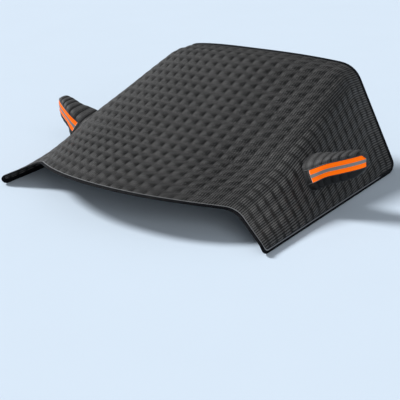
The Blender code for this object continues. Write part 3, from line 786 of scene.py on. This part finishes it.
def rootCentre():
    # the middle of the CAD solid's sixteen corners at the flap
    edges = np.array([-tapes["width"], -tapes["silverWidth"], tapes["silverWidth"], tapes["width"]]) / 2
    front = np.stack(pocketShape(tapes["raise"] + edges, pocket["rootHeight"] / 2), 1)
    start = math.atan2(front[-1][1], front[-1][0])
    end = math.atan2(front[0][1], front[0][0]) % (2 * math.pi) - 2 * math.pi
    back = np.stack(turnedShape(np.linspace(start, end, pocket["backPoints"] + 2)[1:-1]), 1)
    shape = np.vstack([front, back])
    return rootBase(shape[:, 0], shape[:, 1], 0.0, pocket["turnIn"]).mean(axis=0)


pocketCentre = rootCentre()
pocketFull = pocket["reach"] - pocketCentre[0]


def bluntness(reach):
    # 1 along most of the pocket, falling to 0 at its round tip
    return (1 - reach ** pocket["bluntStart"]) ** pocket["bluntPower"]


def pocketHalf(measure, reach):
    root, tip = pocket["root" + measure], pocket["tip" + measure]
    return (root + (tip - root) * reach) / 2 * bluntness(reach)


def pocketPlace(reach, a, b, inset=0.0, swell=0.0):
    # a point of the pocket's wall: reach 0 at the flap, 1 at the tip; a and b run round the section
    reach, a, b = np.broadcast_arrays(np.asarray(reach, float), a, b)
    base = rootBase(a, b, inset, pocket["turnIn"])
    out = reach * (pocketFull - inset)
    halfLength, halfHeight = (np.maximum(pocketHalf(measure, reach) - inset, 0)
                              for measure in ("Length", "Height"))
    section = np.stack([
        pocketCentre[0] + out,
        pocketCentre[1] + pocket["sweep"] * reach + a * (halfLength + swell),
        pocketCentre[2] + pocket["rise"] * reach + b * (halfHeight + swell)], -1)
    lean = base + np.stack([out, pocket["sweep"] * reach + a * swell, pocket["rise"] * reach + b * swell], -1)
    follow = smooth(reach / pocket["flareShare"])[..., None]
    return lean * (1 - follow) + section * follow


def ribSwell(reach, a, b):
    share = (reach - pocket["ribsStart"]) / (pocket["ribsEnd"] - pocket["ribsStart"]) * pocket["ribs"]
    inside = (share > 0) & (share < pocket["ribs"])
    rib = np.where(inside, np.abs(np.sin(np.pi * share)) ** pocket["ribPower"], 0)
    fromTape = np.abs(b * pocketHalf("Height", reach) - tapes["raise"]) - tapes["width"] / 2
    clear = np.where(a > pocket["wrapStart"], 1, smoothBetween(fromTape, pocket["ribsOffTape"]))
    return pocket["ribRise"] * rib * clear


def mirrored(points, side):
    return np.asarray(points) * [side, 1, 1]


# the crest share is painted light and shade on the ribs
pocketCloth = {"dark": (0.0045, 0.0045, 0.0050, 1), "light": (0.0860, 0.0860, 0.0870, 1),
               # the under colour is partly a black panel and partly painted shade
               "under": (0.003, 0.003, 0.0033, 1), "underEdge": (-0.25, 0.15), "girth": 0.085,
               "ribPitch": 0.0095, "roughness": 0.60, "sheen": 0.05, "gloss": 0.25, "threadPitch": 0.0011,
               "grain": 1.4, "creaseScale": 60.0, "creaseStretch": (0.5, 1, 1), "paintedRibLight": 0.52,
               "toneShare": 0.5, "ribShare": 0.3, "weaveBump": 0.12, "ribBump": 0.5, "crestBump": 2.0,
               "bump": 0.0012}


def makePocket(name, side):
    # outer and inner wall, joined round the rim that is tucked under the flap
    turns = np.linspace(0, 2 * math.pi, pocket["sides"], endpoint=False)
    a, b = turnedShape(turns)
    reaches = np.concatenate([np.linspace(0, pocket["endStart"], pocket["wallRows"]),
                              1 - np.geomspace(*pocket["endGaps"], pocket["endRows"])])
    walls, flats = [], []
    for inset in (0.0, pocket["thickness"]):
        rows = [rootBase(a, b, inset, depth) for depth in (-pocket["turnIn"], 0.0)]
        lap = [np.full(len(turns), hidden) for hidden in pocket["hiddenLap"]]
        for reach in reaches:
            swell = ribSwell(reach, a, b) if inset == 0 else 0.0
            rows.append(pocketPlace(reach, a, b, inset, swell))
            lap.append(np.full(len(turns), reach * pocketFull))
        walls.append(np.stack(rows))
        flats.append(np.stack([np.stack(lap), np.repeat(turns[None] * pocketCloth["girth"], len(lap), 0)], 2))
    count, size = walls[0].shape[:2]
    points = np.vstack([wall.reshape(-1, 3) for wall in walls])
    flat = np.vstack([part.reshape(-1, 2) for part in flats])
    faces = gridFaces(count, size, closed=True)
    faces += [face[::-1] for face in gridFaces(count, size, closed=True, first=count * size)]
    for wall in range(2):
        last = wall * count * size + (count - 1) * size
        cap = tuple(range(last, last + size))
        faces.append(cap if wall == 0 else cap[::-1])
    for j in range(size):
        k = (j + 1) % size
        faces.append((k, j, count * size + j, count * size + k))
    return makePiece(name, mirrored(points, side), faces if side > 0 else [f[::-1] for f in faces], flat)


def makePocketCloth():
    # ribs run round the pocket, painted lighter on crests and darker in grooves; underside a black panel and
    # painted shade
    look = pocketCloth
    material, tree, shader, place = startMaterial("pocketCloth", look)
    fine, coarse, tone = clothGrain(tree, place, look)
    crease = noiseAt(tree, place, look["creaseScale"], look["creaseStretch"])
    outward, around = splitPlace(tree, place)
    ribLength = (pocket["ribsEnd"] - pocket["ribsStart"]) * pocketFull / pocket["ribs"]
    turns = calc(tree, "DIVIDE", minus(tree, outward, pocket["ribsStart"] * pocketFull), ribLength)
    crest = calc(tree, "ABSOLUTE", calc(tree, "SINE", times(tree, turns, math.pi)))
    # painted light and shade: the ribs lighter on their crests and darker in their grooves
    shade = withTerms(tree, times(tree, crest, look["paintedRibLight"]), (
        (minus(tree, tone, 0.5), look["toneShare"]), (minus(tree, coarse, 0.5), look["ribShare"])))
    # the underside is black, partly a black panel and partly painted shade
    level = calc(tree, "SINE", calc(tree, "DIVIDE", around, look["girth"]))
    underPanelAndShade = softRamp(tree, level, *look["underEdge"], 1.0, 0.0)
    colour = mixColour(tree, shade, look["dark"], look["light"])
    feed(tree, shader.inputs["Base Color"], mixColour(tree, underPanelAndShade, colour, look["under"]))
    height = withTerms(tree, crease, ((fine, look["weaveBump"]), (coarse, look["ribBump"]),
                                      (crest, look["crestBump"])))
    addBump(tree, shader, height, look["bump"])
    return material


tapeCloth = {"cellScale": 260.0, "cellUnevenness": 0.25, "cellEdge": 0.12, "grain": 0.5, "toneShare": 0.5,
             "cellShare": 0.5, "toneBump": 0.8, "bump": 0.0005,
             # the orange tape's glow is painted light
             "orangeTape": {"dark": (0.82, 0.116, 0.001, 1), "light": (0.96, 0.152, 0.001, 1),
                            "roughness": 0.60, "gloss": 0.12, "metallic": 0.0, "paintedGlow": 0.44},
             "silverTape": {"dark": (0.200, 0.200, 0.196, 1), "light": (0.280, 0.278, 0.272, 1),
                            "roughness": 0.45, "gloss": 0.12, "metallic": 0.15, "paintedGlow": 0.0}}


def makeTapeMaterial(name):
    # fabric tape with a fine net of reflecting cells, a pale painted highlight at its flap end, and a painted
    # glow on orange
    look = tapeCloth[name]
    material, tree, shader, place = startMaterial(name, look)
    shader.inputs["Metallic"].default_value = look["metallic"]
    cells = tree.nodes.new("ShaderNodeTexVoronoi")
    cells.feature = "DISTANCE_TO_EDGE"
    cells.inputs["Scale"].default_value = tapeCloth["cellScale"]
    cells.inputs["Randomness"].default_value = tapeCloth["cellUnevenness"]
    tree.links.new(place, cells.inputs["Vector"])
    cell = ramp(tree, cells.outputs["Distance"], 0.0, tapeCloth["cellEdge"])
    tone = placeGroup(tree, toneGroup, Place=place, Grain=tapeCloth["grain"])["Tone"]
    shade = plus(tree, times(tree, tone, tapeCloth["toneShare"]), times(tree, cell, tapeCloth["cellShare"]))
    # painted highlight: a pale line along the tape's flap end
    fromStart = minus(tree, splitPlace(tree, place)[0], tapeEnds()[0] * pocketFull)
    onEndHighlight = calc(tree, "LESS_THAN", fromStart, tapes["endLine"])
    colour = mixColour(tree, onEndHighlight, mixColour(tree, shade, look["dark"], look["light"]), tapes["paintedEndHighlight"])
    feed(tree, shader.inputs["Base Color"], colour)
    # painted light: the tape glows in its own colour, though it is no lamp
    shader.inputs["Emission Strength"].default_value = look["paintedGlow"]
    if look["paintedGlow"]:
        feed(tree, shader.inputs["Emission Color"], colour)
    addBump(tree, shader, withTerms(tree, cell, ((tone, tapeCloth["toneBump"]),)), tapeCloth["bump"])
    return material


def tapeEnds():
    return tapes["fromFlap"] / pocketFull, 1 - tapes["fromTip"] / pocketFull


def makeTape(name, side, half, lift):
    # a thin strip over the front of the pocket, closed round its rim
    start, end = tapeEnds()
    reaches = np.concatenate([np.linspace(start, pocket["endStart"], tapes["rows"]),
                              np.linspace(tapes["endFrom"], end, tapes["endRows"])])
    levels = np.linspace(-half, half, tapes["columns"])
    grid = []
    for reach in reaches:
        a, b = pocketShape(tapes["raise"] + levels, pocketHalf("Height", reach))
        grid.append(pocketPlace(reach, a, b))
    grid = np.stack(grid)
    outward = np.cross(np.gradient(grid, axis=0), np.gradient(grid, axis=1))
    outward /= np.linalg.norm(outward, axis=2)[..., None]
    outward *= -1 if outward[..., 1].mean() > 0 else 1
    low = grid + outward * lift
    high = grid + outward * (lift + tapes["thickness"])
    rows, width = grid.shape[:2]
    points = np.vstack([high.reshape(-1, 3), low.reshape(-1, 3)])
    flat = np.stack([np.repeat(reaches[:, None] * pocketFull, width, 1), np.repeat(levels[None], rows, 0)], 2)
    flat = flat.reshape(-1, 2)
    faces = gridFaces(rows, width)
    faces += [face[::-1] for face in gridFaces(rows, width, first=rows * width)]
    number = np.arange(rows * width).reshape(rows, width)
    sides = number[0], number[1:, -1], number[-1, -2::-1], number[-2:0:-1, 0]
    rim = np.concatenate(sides).tolist()
    faces += [(b, a, rows * width + a, rows * width + b) for a, b in zip(rim, rim[1:] + rim[:1])]
    return makePiece(name, mirrored(points, side), faces, np.vstack([flat, flat]), 50, turnOut=True)


piping = {"radius": 0.0026, "offset": 0.0030, "backTurns": (0.80, -0.80), "backSwell": 0.001,
          "reaches": ((0.01, 0.9, 60), (0.91, 0.992, 14)), "rootSteps": 100, "rootInset": -0.001,
          "rootDepth": 0.0028, "roughness": 0.45, "twistScale": 260.0, "bump": 0.0004,
          "dark": (0.010, 0.011, 0.013, 1), "light": (0.030, 0.031, 0.034, 1)}


def makePiping(name, side):
    # corded seams: two along the tape, two along the back, and one round the root
    reaches = np.concatenate([np.linspace(*stretch) for stretch in piping["reaches"]])
    halves = pocketHalf("Height", reaches)
    beside = tapes["width"] / 2 + piping["offset"]
    lines = []
    for level in (tapes["raise"] + beside, tapes["raise"] - beside):
        lines.append([pocketPlace(reach, *pocketShape(level, half)) for reach, half in zip(reaches, halves)])
    for turn in piping["backTurns"]:
        lines.append([pocketPlace(reach, *turnedShape(turn), 0.0, piping["backSwell"]) for reach in reaches])
    turns = np.linspace(0, 2 * math.pi, piping["rootSteps"])
    lines.append(rootBase(*turnedShape(turns), piping["rootInset"], piping["rootDepth"]))
    points, faces = joined([tubeAlong(mirrored(line, side), piping["radius"]) for line in lines])
    return makePiece(name, points, faces)


pocketMaterial = makePocketCloth()
pipingMaterial = makeCord("pipingCord", piping)
orangeMaterial = makeTapeMaterial("orangeTape")
silverMaterial = makeTapeMaterial("silverTape")

silverLift = tapes["lift"] + tapes["thickness"]
for sideName, side in (("left", 1), ("right", -1)):
    wall = dress(makePocket("pocket_" + sideName, side),
                 "pocket", pocketMaterial, "mirror_pocket_" + sideName)
    dress(makePiping("pocket_piping_" + sideName, side), "pocket", pipingMaterial)
    dress(makeTape("warning_tape_" + sideName, side, tapes["width"] / 2, tapes["lift"]),
          "orange_tape", orangeMaterial, "orange_tape_" + sideName)
    dress(makeTape("silver_strip_" + sideName, side, tapes["silverWidth"] / 2, silverLift),
          "silver_tape", silverMaterial, "silver_tape_" + sideName)
print("mirror pockets made")

# Floor, light and camera
studio = {"floor": (0.625, 0.722, 0.828, 1), "floorDark": (0.6125, 0.70756, 0.81144, 1), "floorScale": 2.0,
          "sky": (0.72, 0.83, 0.95, 1), "ambient": (0.92, 0.96, 1.0, 1), "worldLevel": 0.28,
          "key": {"from": (-0.80, -0.14, 0.68), "level": 3.75, "spread": 16},
          "fill": {"from": (0.74, -0.50, 0.42), "level": 0.90, "spread": 40}}


def makeFloor():
    bpy.ops.mesh.primitive_plane_add(size=60)
    floor = bpy.context.object
    floor.name = "studio_floor"
    material = bpy.data.materials.new("studioFloor")
    material.use_nodes = True
    tree = material.node_tree
    shader = tree.nodes["Principled BSDF"]
    shader.inputs["Roughness"].default_value = 0.9
    shader.inputs["Specular IOR Level"].default_value = 0.1
    place = tree.nodes.new("ShaderNodeTexCoord").outputs["Object"]
    patches = noiseAt(tree, place, studio["floorScale"])
    feed(tree, shader.inputs["Base Color"], mixColour(tree, patches, studio["floorDark"], studio["floor"]))
    floor.data.materials.append(material)


def makeWorld():
    world = bpy.data.worlds.new("studioSky")
    bpy.context.scene.world = world
    world.use_nodes = True
    tree = world.node_tree
    tree.nodes.clear()
    seen, lit = tree.nodes.new("ShaderNodeBackground"), tree.nodes.new("ShaderNodeBackground")
    seen.inputs["Color"].default_value = studio["sky"]
    lit.inputs["Color"].default_value = studio["ambient"]
    lit.inputs["Strength"].default_value = studio["worldLevel"]
    rays = tree.nodes.new("ShaderNodeLightPath")
    mix = tree.nodes.new("ShaderNodeMixShader")
    output = tree.nodes.new("ShaderNodeOutputWorld")
    tree.links.new(rays.outputs["Is Camera Ray"], mix.inputs[0])
    tree.links.new(lit.outputs[0], mix.inputs[1])
    tree.links.new(seen.outputs[0], mix.inputs[2])
    tree.links.new(mix.outputs[0], output.inputs[0])


def addLamp(name, lampValues):
    # a wide, far lamp, so that the light is even over the floor
    lamp = bpy.data.lights.new(name, "SUN")
    lamp.energy = lampValues["level"]
    lamp.angle = math.radians(lampValues["spread"])
    item = bpy.data.objects.new(name, lamp)
    item.rotation_euler = (-Vector(lampValues["from"])).to_track_quat("-Z", "Y").to_euler()
    bpy.context.scene.collection.objects.link(item)


view = {"focalPixels": 987.08, "frame": 400, "place": (3.5619, -4.3197, 2.1559), "yaw": 0.6859,
        "pitch": 0.3900, "roll": -0.0608}


def addCamera():
    data = bpy.data.cameras.new("photoView")
    data.sensor_fit = "HORIZONTAL"
    data.sensor_width = 36
    data.lens = view["focalPixels"] / view["frame"] * data.sensor_width
    camera = bpy.data.objects.new("photoView", data)
    level = math.cos(view["pitch"])
    back = Vector((math.sin(view["yaw"]) * level, -math.cos(view["yaw"]) * level, math.sin(view["pitch"])))
    right = (-back).cross(Vector((0, 0, 1))).normalized()
    up = right.cross(-back)
    c, s = math.cos(view["roll"]), math.sin(view["roll"])
    axes = Matrix((c * right + s * up, -s * right + c * up, back)).transposed().to_4x4()
    camera.matrix_world = Matrix.Translation(view["place"]) @ axes
    bpy.context.scene.collection.objects.link(camera)
    bpy.context.scene.camera = camera


makeFloor()
makeWorld()
addLamp("keyLamp", studio["key"])
addLamp("fillLamp", studio["fill"])
addCamera()
bpy.context.scene.view_settings.view_transform = "Standard"
print("studio made")
